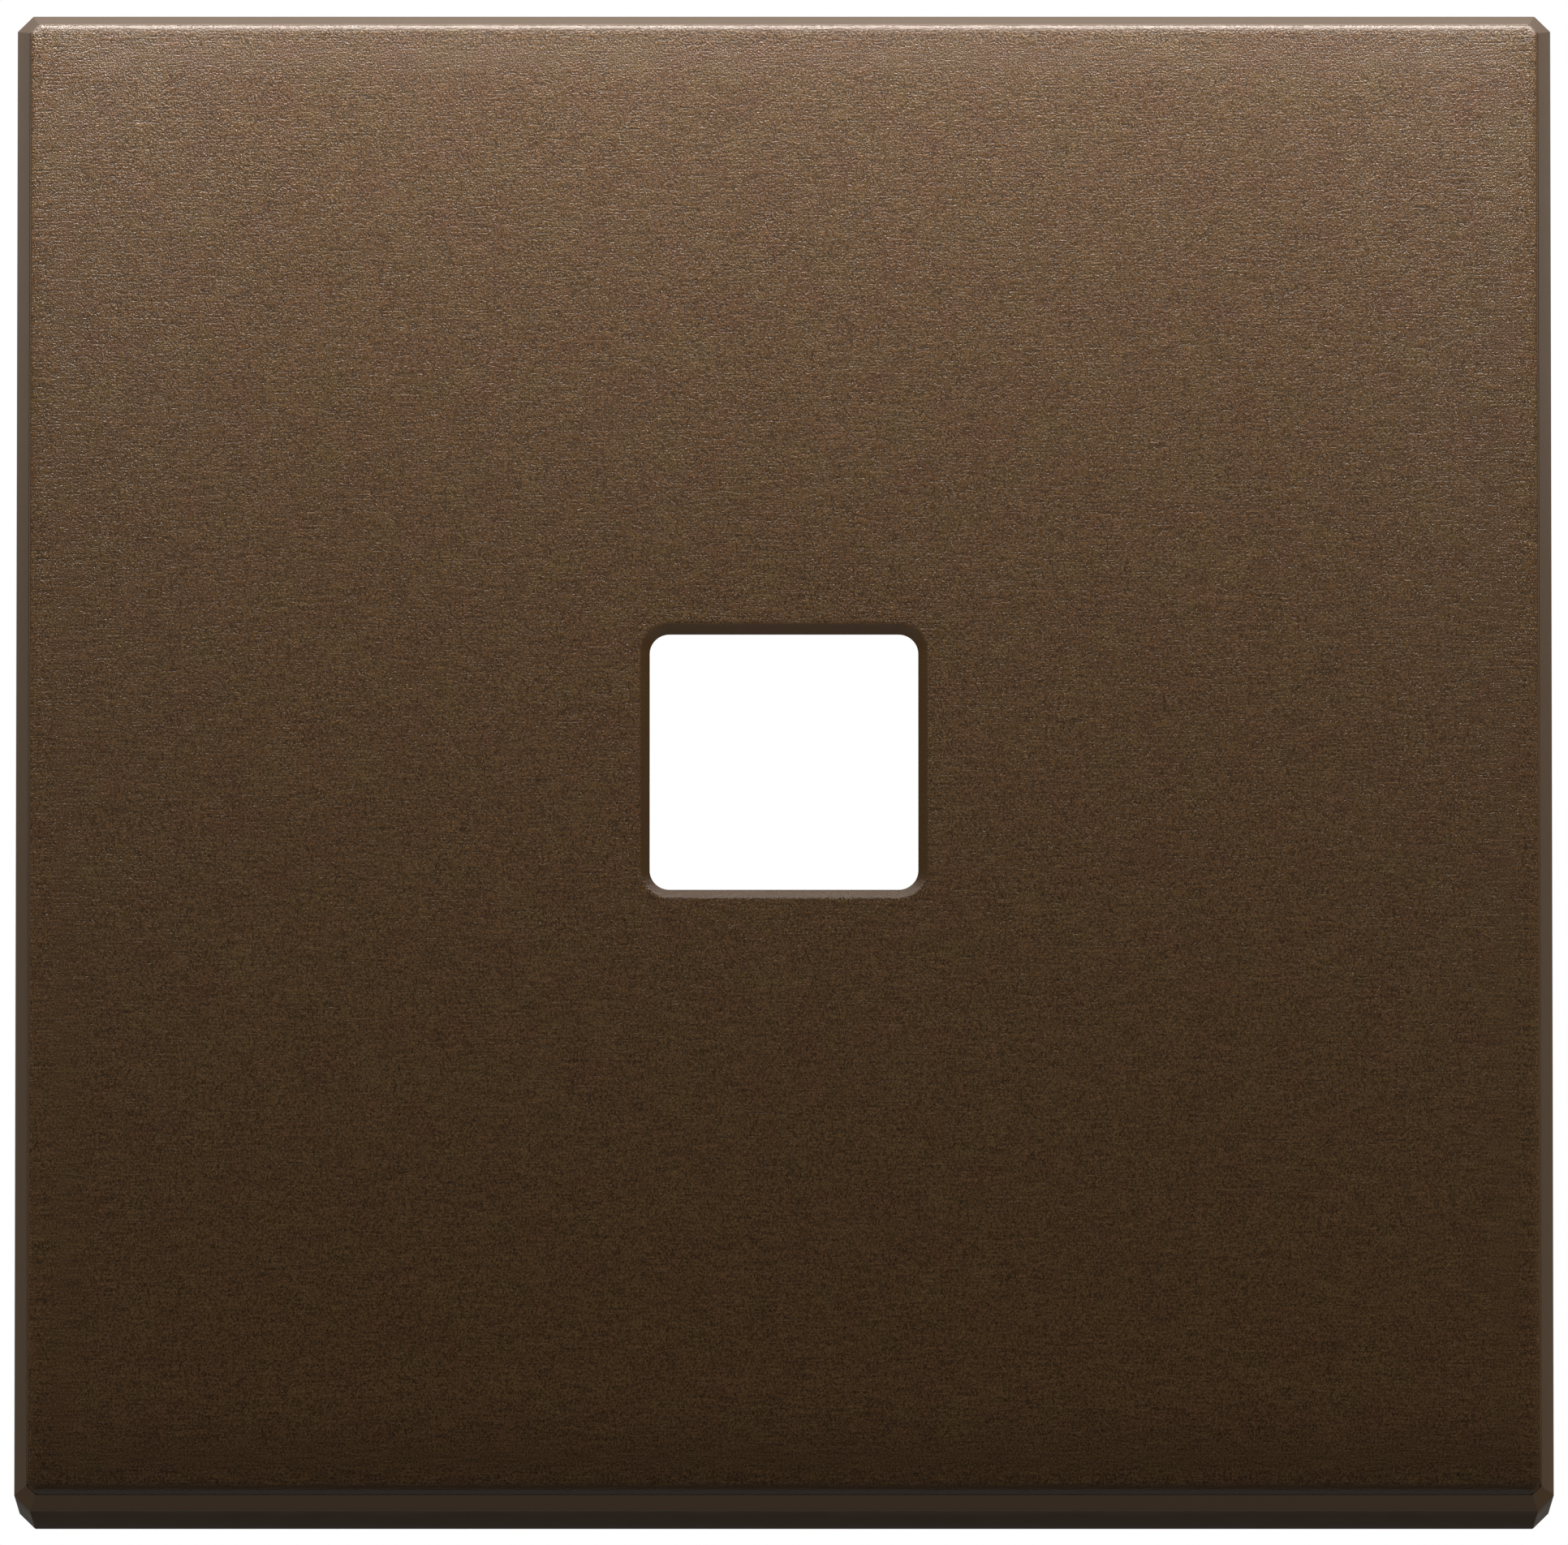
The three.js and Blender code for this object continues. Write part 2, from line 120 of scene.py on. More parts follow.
# Legs and springs
LEG_ACROSS = 22.4 * MM
LEG_ALONG = 12 * MM
LEG_LENGTH = 8.1 * MM
STRIP_WIDTH = 5.6 * MM
STRIP_MID = 1.1 * MM
SPRING_TOP = 0.4 * MM
SPRING_REACH = 1.7 * MM
SPRING_LIMB = 8 * MM
SPRING_LIMB_SHARES = np.array([[0, 0], [0.26, 0.15], [1, 0.48], [0.42, 0.8], [0.16, 0.93], [0.34, 1]])
SLOT_HALF_WIDTH = 1.1 * MM
SLOT_TOP = -1.8 * MM
SLOT_FOOT = -3.4 * MM
STRIP_EDGE = 0.04 * MM

# Smoothness
CORNER_STEPS = 6
SOFT_STEPS = 4
ROUND_STEPS = 32
DOME_STEPS = 8
TIP_STEPS = 14
LIMB_STEPS = 36
MERGE = 0.0001 * MM
SHARP_ANGLE = math.radians(32)

# Camera: the photograph shows about 71.44 mm across its width, from 13.3 degrees below
CAMERA_DISTANCE = 3.3
CAMERA_ELEVATION = math.radians(-13.3)
CAMERA_AIM = Vector((0, -4.65, -0.496)) * MM
VIEW_WIDTH = 71.435 * MM
SENSOR = 36  # millimetres, as the camera takes it

# Finish of the face plate, matched to the photograph. Bands are measured from the middle of the plate, whose
# edge lies 34.4 mm out.
GRAIN_SIZE = (0.068 * MM, 0.068 * MM, 0.085 * MM)  # blasted grain, along X, Y and Z
BRUSH_SIZE = (1.5 * MM, 1.5 * MM, 0.07 * MM)  # brush lines
RELIEF_DEPTH = 0.052 * MM
FORMED_RELIEF = 0.4  # share of that depth on the roll and the lip
STROKE_END = (28 * MM, 34.3 * MM)  # sideways
STROKE_SHARE = (0.24, 0.28)  # share of the brush lines in the relief
RELIEF_RANGE = (0.36, 0.7)
RELIEF_TONE = (0.34, 1.78)
DYE_PATCH = 2 * MM
HUE_RANGE = (0.493, 0.507)
ROLL_BAND = (33.95 * MM, 34.1 * MM)  # up and down, from the flat to the roll of the upper and lower edge
OUTER_BAND = (34 * MM, 34.2 * MM)  # all round, from the flat to the roll
FORMED_SLOPE = (-0.93, -0.85)  # Y of the normal, which is -1 on the flat and more on the roll and the lip
FACING_UP = (0.2, 0.5)  # Z of the normal
# Even tone of the roll and the lip without grain, darkened as painted shade, with painted light where the lip
# faces up
FORMED_TONE_AND_SHADE = 0.75
LIP_PAINTED_LIGHT = 1.05  # where the lip faces up
# Painted shade, darker along the lower edge and darker still under its roll
LOWER_EDGE_SHADE_BAND = (-34.2 * MM, -29.5 * MM)
LOWER_EDGE_SHADE_TONE = 0.65
UNDER_ROLL_SHADE_BAND = (-34.4 * MM, -33.9 * MM)
UNDER_ROLL_SHADE_TONE = 0.4
SHEEN_BAND = (22 * MM, 33 * MM)  # sideways
SHEEN_MIDDLE = 0.75
FACE_ROUGHNESS = 0.6
ROLL_ROUGHNESS = 0.35

# Middle of a noise, which is stretched to the range of a tone or a roughness
NOISE_MIDDLE = {"From Min": 0.3, "From Max": 0.7}

# Studio, in metres and watts, matched to the photograph
CAMERA_CLIP = (0.01, 10)
FLOOR_HALF = 2
FLOOR_LEVEL = -0.65
FLOOR_BOUNCE = 0.5  # share of its light that the floor throws back
SURROUND = 0.92  # strength at its palest
SURROUND_RISE = (-0.08, 0.9)  # Z of the direction, over which the surround grows paler
SURROUND_FRONT = (-0.2, 0.2)  # Y of the direction, over which the camera's side gives way to the back
STRIP_PLACE = Vector((0, -0.076, 0.118))
# The strip is turned up and away, so that its light only grazes the face and ends 28 mm below the middle
STRIP_DIRECTION = Vector((0, 0.9, 0.433))
LAMPS = (
    # Name, place, aim, width and height, power, and whether it shows in reflections
    ("strip_softbox", STRIP_PLACE, STRIP_PLACE + STRIP_DIRECTION, (0.208, 0.04), 1.22, True),
    ("front_fill", (0, -1.2, -0.1), (0, 0, 0), (1.5, 1.2), 6, False),
    ("overhead_softbox", (0, 0.02, 0.5), (0, 0, 0), (0.8, 0.2), 1.9, True),
    ("side_softbox_left", (-0.147, 0.028, 0.089), (-0.035, 0, 0.02), (0.1, 0.09), 0.0155, True),
    ("side_fill_left", (-0.147, -0.014, -0.015), (-0.035, 0, -0.015), (0.03, 0.1), 0.045, False),
    ("side_softbox_right", (0.147, 0.028, 0.089), (0.035, 0, 0.02), (0.1, 0.09), 0.0155, True),
    ("side_fill_right", (0.147, -0.014, -0.015), (0.035, 0, -0.015), (0.03, 0.1), 0.07, False),
)


def linear(hex_code):
    """Turns an sRGB hex value to linear red, green and blue."""
    values = (int(hex_code[k : k + 2], 16) / 255 for k in (0, 2, 4))
    return tuple(v / 12.92 if v <= 0.04045 else ((v + 0.055) / 1.055) ** 2.4 for v in values)


def length_property(name, description, default):
    """A length of the panel, in metres."""
    return bpy.props.FloatProperty(
        name=name, description=description, default=default, unit="LENGTH", precision=5, min=0
    )


def colour_property(name, description, hex_code):
    """A colour of the panel, given as an sRGB hex value."""
    return bpy.props.FloatVectorProperty(
        name=name, description=description, default=linear(hex_code), subtype="COLOR", min=0, max=1
    )


class CoverSizes(bpy.types.PropertyGroup):
    cover_size: length_property("Cover", "Width across the widest edge", cad_box[1].x - cad_box[0].x)
    corner_leg: length_property("Corner flat", "Leg of the flat across each corner", 0.72 * MM)
    bevel_width: length_property("Bevel width", "Width of the shell's bevel", 0.58 * MM)
    bevel_depth: length_property("Bevel depth", "Depth of the shell's bevel", 0.8 * MM)
    face_proud: length_property("Face proud", "How far the face stands out of the shell", 0.35 * MM)
    roll_width: length_property("Roll width", "Width of the face plate's rolled edge", 0.6 * MM)
    roll_depth: length_property("Roll depth", "Depth of the face plate's rolled edge", 0.17 * MM)
    opening_width: length_property("Opening width", "Width of the plug opening", 12.23 * MM)
    opening_height: length_property("Opening height", "Height of the plug opening", 11.96 * MM)
    opening_drop: length_property("Opening drop", "How far the opening lies below the middle", 0.2 * MM)
    opening_radius: length_property("Opening radius", "Corner radius of the opening", 0.9 * MM)
    lip_width: length_property("Lip width", "Width of the lip round the opening", 0.46 * MM)
    lip_depth: length_property("Lip depth", "Depth of the lip round the opening", 0.3 * MM)
    strip_thickness: length_property("Spring strip", "Thickness of the spring strip", 0.3 * MM)


class CoverColours(bpy.types.PropertyGroup):
    face: colour_property("Face", "Brushed bronze of the face plate", "64482A")
    shell: colour_property("Shell", "Lacquered bronze of the shell", "4E3B26")
    film: colour_property("Film", "Adhesive film behind the face plate", "D8D5CC")
    frame: colour_property("Frame", "Moulded plastic of the clip frame", "1E1E20")
    spring: colour_property("Springs", "Spring steel", "C2BFB8")
    floor: colour_property("Floor", "Plain floor of the studio", "EDEBE8")


def upright(points):
    """Turns points from their backs to the frame: X = x, Y = -z, Z = y."""
    x, y, z = np.moveaxis(points, -1, 0)
    return np.stack((x, -z, y), axis=-1)


def turned_about_z(points, angle):
    """Turns points about the z axis: x cos a - y sin a, x sin a + y cos a."""
    x, y, z = np.moveaxis(points, -1, 0)
    cos, sin = math.cos(angle), math.sin(angle)
    return np.stack((x * cos - y * sin, x * sin + y * cos, z), axis=-1)


def grid_faces(rows, columns, close_rows=False, close_columns=False):
    """Quads of a grid of points, where point (i, j) has the index i * columns + j."""
    i = np.arange(rows if close_rows else rows - 1)[:, None]
    j = np.arange(columns if close_columns else columns - 1)
    ahead, beside = (i + 1) % rows, (j + 1) % columns
    corners = (i * columns + j, i * columns + beside, ahead * columns + beside, ahead * columns + j)
    return np.stack(np.broadcast_arrays(*corners), axis=-1).reshape(-1, 4)


def cut_square(half, leg, radius, z):
    """Section of a square whose corners are cut off by flats, each with rounded ends."""
    return (half, half, leg, radius, 0, z)


def round_rectangle(half_width, half_height, radius, middle, z):
    """Section of a rectangle with round corners, about the height of its middle."""
    return (half_width, half_height, (2 - math.sqrt(2)) * radius, radius, middle, z)


def outlines(sections):
    """Closed outlines, one for each section, anticlockwise from the right-hand side.

    A section holds the half width, the half height, the leg of the flat across each corner, the radius at
    both ends of that flat, the height of the middle, and z. A corner is two arcs of 45 degrees, with points
    at centre + radius * (cos a, sin a). A leg of (2 - sqrt 2) * radius brings both centres together.
    """
    width, height, leg, radius, middle, z = (sections[:, k, None] for k in range(6))
    tangent = radius * math.tan(math.pi / 8)
    low = np.linspace(0, math.pi / 4, CORNER_STEPS + 1)
    high = low + math.pi / 4
    x = np.hstack((width - radius + radius * np.cos(low), width - leg - tangent + radius * np.cos(high)))
    y = np.hstack((height - leg - tangent + radius * np.sin(low), height - radius + radius * np.sin(high)))
    all_x = np.hstack((x, -x[:, ::-1], -x, x[:, ::-1]))
    all_y = np.hstack((y, y[:, ::-1], -y, -y[:, ::-1])) + middle
    return np.stack(np.broadcast_arrays(all_x, all_y, z), axis=-1)


def softened(sections, softness):
    """Rounds a closed run of sections.

    Each section V gives way to the curve (1-t)^2 A + 2t(1-t) V + t^2 B, whose ends A and B lie a softness
    before and after V, measured by the half width and z.
    """
    rows = np.array(sections, float)
    reach = np.array(softness, float)[:, None]
    before, after = np.roll(rows, 1, axis=0) - rows, np.roll(rows, -1, axis=0) - rows
    start = rows + before * reach / np.hypot(before[:, :1], before[:, -1:])
    end = rows + after * reach / np.hypot(after[:, :1], after[:, -1:])
    t = np.linspace(0, 1, SOFT_STEPS + 1)[:, None, None]
    curve = (1 - t) ** 2 * start + 2 * t * (1 - t) * rows + t**2 * end
    return curve.transpose(1, 0, 2).reshape(-1, rows.shape[1])


def ring(sections):
    """Closed tube through the outlines of all sections, the last joined to the first."""
    points = outlines(sections)
    return points.reshape(-1, 3), grid_faces(*points.shape[:2], close_rows=True, close_columns=True)


def turned(profile, x, y):
    """Profile of (radius, z) turned about an upright axis: x + r cos a, y + r sin a, z."""
    radius, z = profile[:, 0, None], profile[:, 1, None]
    angle = np.linspace(0, 2 * math.pi, ROUND_STEPS, endpoint=False)
    points = np.broadcast_arrays(x + radius * np.cos(angle), y + radius * np.sin(angle), z)
    return np.stack(points, axis=-1).reshape(-1, 3), grid_faces(len(profile), ROUND_STEPS, False, True)


def prism(profile, thickness, y, angle):
    """Profile of (x, z) carried along y by a thickness about a place, then turned about the z axis."""
    count = len(profile)
    ends = np.array((y - thickness / 2, y + thickness / 2))[:, None]
    points = np.stack(np.broadcast_arrays(profile[:, 0], ends, profile[:, 1]), axis=-1).reshape(-1, 3)
    faces = [*grid_faces(2, count, close_columns=True).tolist()]
    faces += [list(range(count)), list(range(2 * count - 1, count - 1, -1))]
    return turned_about_z(points, angle), faces


def make_piece(name, parts, material, closed=True):
    """One mesh object from parts of (points, faces), upright, with merged doubles and outward faces."""
    mesh = bpy.data.meshes.new(name)
    counts = np.cumsum([0] + [len(points) for points, _ in parts])
    faces = [
        [corner + int(count) for corner in face]
        for (_, part_faces), count in zip(parts, counts)
        for face in np.asarray(part_faces, dtype=object).tolist()
    ]
    mesh.from_pydata(upright(np.vstack([points for points, _ in parts])), [], faces)
    shape = bmesh.new()
    shape.from_mesh(mesh)
    bmesh.ops.remove_doubles(shape, verts=shape.verts, dist=MERGE)
    if closed:
        bmesh.ops.recalc_face_normals(shape, faces=shape.faces)
    shape.to_mesh(mesh)
    shape.free()
    mesh.shade_smooth()
    mesh.set_sharp_from_angle(angle=SHARP_ANGLE)
    mesh.materials.append(material)
    piece = bpy.data.objects.new(name, mesh)
    bpy.context.scene.collection.objects.link(piece)
    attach(piece, "root")
    return piece


def round_edges(piece, width, angle=math.radians(40), segments=2):
    """Bevel modifier that rounds the sharp edges of a piece."""
    bevel = piece.modifiers.new("Rounded edges", "BEVEL")
    bevel.limit_method = "ANGLE"
    bevel.angle_limit = angle
    bevel.width = width
    bevel.segments = segments
    bevel.use_clamp_overlap = True
    bevel.harden_normals = True


def add_node(tree, kind, inputs=None, **settings):
    """Adds a node, sets its settings, and links or sets its sockets.

    A node given as an input stands for its first output.
    """
    node = tree.nodes.new("ShaderNode" + kind)
    for name, value in settings.items():
        setattr(node, name, value)
    for name, value in (inputs or {}).items():
        if isinstance(value, bpy.types.Node):
            value = value.outputs[0]
        if isinstance(value, bpy.types.NodeSocket):
            tree.links.new(value, node.inputs[name])
        else:
            node.inputs[name].default_value = value
    return node


def new_material(name):
    """An empty node material, its tree, and the object's own coordinates in metres."""
    material = bpy.data.materials.new(name)
    material.use_nodes = True
    tree = material.node_tree
    tree.nodes.clear()
    return material, tree, add_node(tree, "TexCoord").outputs["Object"]


def brushed_bronze(colour):
    """Bronze-anodised sheet, bead blasted and brushed sideways: fine pebbly grain with faint level lines.

    Its tones and sheen are matched to one photograph, which can't tell a darker finish from less light.
    Painted shade darkens the lower edge, the roll and the lip, and painted light brightens the lip where it
    faces up;
    they stay with the plate under other lamps.
    """
    material, tree, place = new_material("brushed_bronze_anodised_sheet")
    normal = add_node(tree, "TexCoord").outputs["Normal"]
    split = add_node(tree, "SeparateXYZ", {0: normal})
    where = add_node(tree, "SeparateXYZ", {0: place})
    sideways = add_node(tree, "Math", {0: where.outputs["X"]}, operation="ABSOLUTE")
    upwards = add_node(tree, "Math", {0: where.outputs["Z"]}, operation="ABSOLUTE")
    outwards = add_node(tree, "Math", {0: sideways, 1: upwards}, operation="MAXIMUM")

    # Grain and brush lines share one relief, in which the lines show a little more towards both sides
    fine = add_node(tree, "Mapping", {"Vector": place, "Scale": [1 / size for size in GRAIN_SIZE]})
    grain = add_node(tree, "TexNoise", {"Vector": fine, "Scale": 1, "Detail": 1, "Roughness": 0.7})
    stretch = add_node(tree, "Mapping", {"Vector": place, "Scale": [1 / size for size in BRUSH_SIZE]})
    brush = add_node(tree, "TexNoise", {"Vector": stretch, "Scale": 1, "Detail": 1, "Roughness": 0.6})
    ends = add_node(
        tree,
        "MapRange",
        {
            "Value": sideways,
            "From Min": STROKE_END[0],
            "From Max": STROKE_END[1],
            "To Min": STROKE_SHARE[0],
            "To Max": STROKE_SHARE[1],
        },
        interpolation_type="SMOOTHSTEP",
    )
    relief = add_node(tree, "Mix", {"Factor": ends, "A": grain, "B": brush}, data_type="FLOAT")
    tone = add_node(
        tree,
        "MapRange",
        {
            "Value": relief,
            "From Min": RELIEF_RANGE[0],
            "From Max": RELIEF_RANGE[1],
            "To Min": RELIEF_TONE[0],
            "To Max": RELIEF_TONE[1],
        },
    )

    # Slightly redder and greener patches
    patch = add_node(tree, "TexNoise", {"Vector": place, "Scale": 1 / DYE_PATCH, "Detail": 2})
    hue = add_node(
        tree,
        "MapRange",
        {"Value": patch, **NOISE_MIDDLE, "To Min": HUE_RANGE[0], "To Max": HUE_RANGE[1]},
    )
    dyed = add_node(tree, "HueSaturation", {"Color": (*colour, 1), "Hue": hue})

    # The roll and the lip are smooth and even, with painted shade that makes them darker than the flat, and
    # painted light where the lip faces up
    rim = add_node(
        tree, "MapRange", {"Value": upwards, "From Min": ROLL_BAND[0], "From Max": ROLL_BAND[1]}
    )
    edge = add_node(
        tree, "MapRange", {"Value": outwards, "From Min": OUTER_BAND[0], "From Max": OUTER_BAND[1]}
    )
    sloping = add_node(
        tree,
        "MapRange",
        {"Value": split.outputs["Y"], "From Min": FORMED_SLOPE[0], "From Max": FORMED_SLOPE[1]},
    )
    formed = add_node(tree, "Math", {0: sloping, 1: rim}, operation="MAXIMUM")
    lip = add_node(
        tree,
        "MapRange",
        {
            "Value": split.outputs["Z"],
            "From Min": FACING_UP[0],
            "From Max": FACING_UP[1],
            "To Min": FORMED_TONE_AND_SHADE,
            "To Max": LIP_PAINTED_LIGHT,
        },
    )
    smooth = add_node(tree, "Mix", {"Factor": edge, "A": lip, "B": FORMED_TONE_AND_SHADE}, data_type="FLOAT")
    tone_with_edge_shade = add_node(tree, "Mix", {"Factor": formed, "A": tone, "B": smooth}, data_type="FLOAT")
    deep = add_node(tree, "Mix", {"Factor": formed, "A": 1, "B": FORMED_RELIEF}, data_type="FLOAT")
    bump = add_node(tree, "Bump", {"Height": relief, "Strength": deep, "Distance": RELIEF_DEPTH})

    # Painted shade: the tone falls along the lower edge, and again on the underside of its roll
    lower_edge_shade = add_node(
        tree,
        "MapRange",
        {
            "Value": where.outputs["Z"],
            "From Min": LOWER_EDGE_SHADE_BAND[0],
            "From Max": LOWER_EDGE_SHADE_BAND[1],
            "To Min": LOWER_EDGE_SHADE_TONE,
        },
    )
    under_roll_shade = add_node(
        tree,
        "MapRange",
        {
            "Value": where.outputs["Z"],
            "From Min": UNDER_ROLL_SHADE_BAND[0],
            "From Max": UNDER_ROLL_SHADE_BAND[1],
            "To Min": UNDER_ROLL_SHADE_TONE,
        },
    )
    painted_shade = add_node(tree, "Math", {0: lower_edge_shade, 1: under_roll_shade}, operation="MULTIPLY")
    # Tone with the painted shade of the edges and the painted light of the upward lip
    depth = add_node(tree, "Math", {0: tone_with_edge_shade, 1: painted_shade}, operation="MULTIPLY")
    shade = add_node(tree, "VectorMath", {0: dyed, "Scale": depth}, operation="SCALE")

    # The sheen is stronger towards both sides and along the upper and lower roll, which is also glossier
    rough = add_node(
        tree, "Mix", {"Factor": rim, "A": FACE_ROUGHNESS, "B": ROLL_ROUGHNESS}, data_type="FLOAT"
    )
    gloss = add_node(
        tree,
        "MapRange",
        {
            "Value": sideways,
            "From Min": SHEEN_BAND[0],
            "From Max": SHEEN_BAND[1],
            "To Min": SHEEN_MIDDLE,
        },
    )
    sealed = add_node(tree, "Mix", {"Factor": rim, "A": gloss, "B": 1}, data_type="FLOAT")
    shader = add_node(
        tree,
        "BsdfPrincipled",
        {
            "Base Color": shade,
            "Metallic": 0.3,
            "Roughness": rough,
            "Specular IOR Level": 0.12,
            "Coat Weight": sealed,
            "Coat Roughness": 0.28,
            "Coat IOR": 1.65,
            "Normal": bump,
            "Coat Normal": bump,
        },
    )
    add_node(tree, "OutputMaterial", {"Surface": shader})
    return material


def lacquered_bronze(colour):
    """Moulded plastic sprayed with bronze lacquer: smooth and satin, with a hint of orange peel."""
    material, tree, place = new_material("bronze_lacquer_on_moulded_abs")
    peel = add_node(tree, "TexNoise", {"Vector": place, "Scale": 1 / (1.6 * MM), "Detail": 0})
    flake = add_node(
        tree, "TexNoise", {"Vector": place, "Scale": 1 / (0.08 * MM), "Detail": 1, "Roughness": 0.5}
    )
    tone = add_node(
        tree,
        "MapRange",
        {"Value": flake, **NOISE_MIDDLE, "To Min": 0.96, "To Max": 1.04},
    )
    shade = add_node(tree, "VectorMath", {0: colour, "Scale": tone.outputs[0]}, operation="SCALE")
    rough = add_node(
        tree,
        "MapRange",
        {"Value": peel, **NOISE_MIDDLE, "To Min": 0.28, "To Max": 0.32},
    )
    bump = add_node(tree, "Bump", {"Height": peel, "Strength": 1, "Distance": 0.0015 * MM})
    shader = add_node(
        tree, "BsdfPrincipled", {"Base Color": shade, "Roughness": rough, "Normal": bump}
    )
    add_node(tree, "OutputMaterial", {"Surface": shader})
    return material


def adhesive_film(colour):
    """Die-cut acrylic adhesive film on a pale carrier: matt, with faint mottling."""
    material, tree, place = new_material("acrylic_adhesive_film")
    mottle = add_node(tree, "TexNoise", {"Vector": place, "Scale": 1 / (0.6 * MM), "Detail": 3})
    tone = add_node(
        tree,
        "MapRange",
        {"Value": mottle, **NOISE_MIDDLE, "To Min": 0.93, "To Max": 1.03},
    )
    shade = add_node(tree, "VectorMath", {0: colour, "Scale": tone.outputs[0]}, operation="SCALE")
    shader = add_node(tree, "BsdfPrincipled", {"Base Color": shade, "Roughness": 0.6})
    add_node(tree, "OutputMaterial", {"Surface": shader})
    return material


def moulded_black(colour):
    """Black polycarbonate blend from a spark-eroded mould: an even matt grain with soft highlights."""
    material, tree, place = new_material("moulded_black_pc_abs")
    grain = add_node(
        tree, "TexNoise", {"Vector": place, "Scale": 1 / (0.16 * MM), "Detail": 2, "Roughness": 0.6}
    )
    flow = add_node(tree, "TexNoise", {"Vector": place, "Scale": 1 / (7 * MM), "Detail": 2})
    tone = add_node(
        tree,
        "MapRange",
        {"Value": flow, **NOISE_MIDDLE, "To Min": 0.88, "To Max": 1.12},
    )
    shade = add_node(tree, "VectorMath", {0: colour, "Scale": tone.outputs[0]}, operation="SCALE")
    rough = add_node(
        tree,
        "MapRange",
        {"Value": grain, **NOISE_MIDDLE, "To Min": 0.42, "To Max": 0.58},
    )
    bump = add_node(tree, "Bump", {"Height": grain, "Strength": 1, "Distance": 0.006 * MM})
    shader = add_node(
        tree, "BsdfPrincipled", {"Base Color": shade, "Roughness": rough, "Normal": bump}
    )
    add_node(tree, "OutputMaterial", {"Surface": shader})
    return material


def spring_steel(colour):
    """Cold-rolled spring steel under its oil film: a soft grey sheen, with fine rolling lines along it."""
    material, tree, place = new_material("cold_rolled_spring_steel")
    stretch = add_node(
        tree,
        "Mapping",
        {"Vector": place, "Scale": (1 / (3 * MM), 1 / (3 * MM), 1 / (0.04 * MM))},
    )
    lines = add_node(tree, "TexNoise", {"Vector": stretch, "Scale": 1, "Detail": 2, "Roughness": 0.6})
    tone = add_node(
        tree,
        "MapRange",
        {"Value": lines, **NOISE_MIDDLE, "To Min": 0.95, "To Max": 1.03},
    )
    shade = add_node(tree, "VectorMath", {0: colour, "Scale": tone.outputs[0]}, operation="SCALE")
    rough = add_node(
        tree,
        "MapRange",
        {"Value": lines, **NOISE_MIDDLE, "To Min": 0.38, "To Max": 0.46},
    )
    bump = add_node(tree, "Bump", {"Height": lines, "Strength": 1, "Distance": 0.0004 * MM})
    shader = add_node(
        tree,
        "BsdfPrincipled",
        {"Base Color": shade, "Metallic": 0.75, "Roughness": rough, "Normal": bump},
    )
    add_node(tree, "OutputMaterial", {"Surface": shader})
    return material


def matt_floor(colour):
    """Plain painted studio floor: pale and matt to the camera, and dimmer in the light that it throws up."""
    material, tree, _ = new_material("matt_painted_floor")
    ray = add_node(tree, "LightPath")
    seen = add_node(
        tree,
        "Mix",
        {"Factor": ray.outputs["Is Camera Ray"], "A": FLOOR_BOUNCE, "B": 1},
        data_type="FLOAT",
    )
    shade = add_node(tree, "VectorMath", {0: colour, "Scale": seen.outputs[0]}, operation="SCALE")
    shader = add_node(tree, "BsdfDiffuse", {"Color": shade, "Roughness": 0.8})
    add_node(tree, "OutputMaterial", {"Surface": shader})
    return material


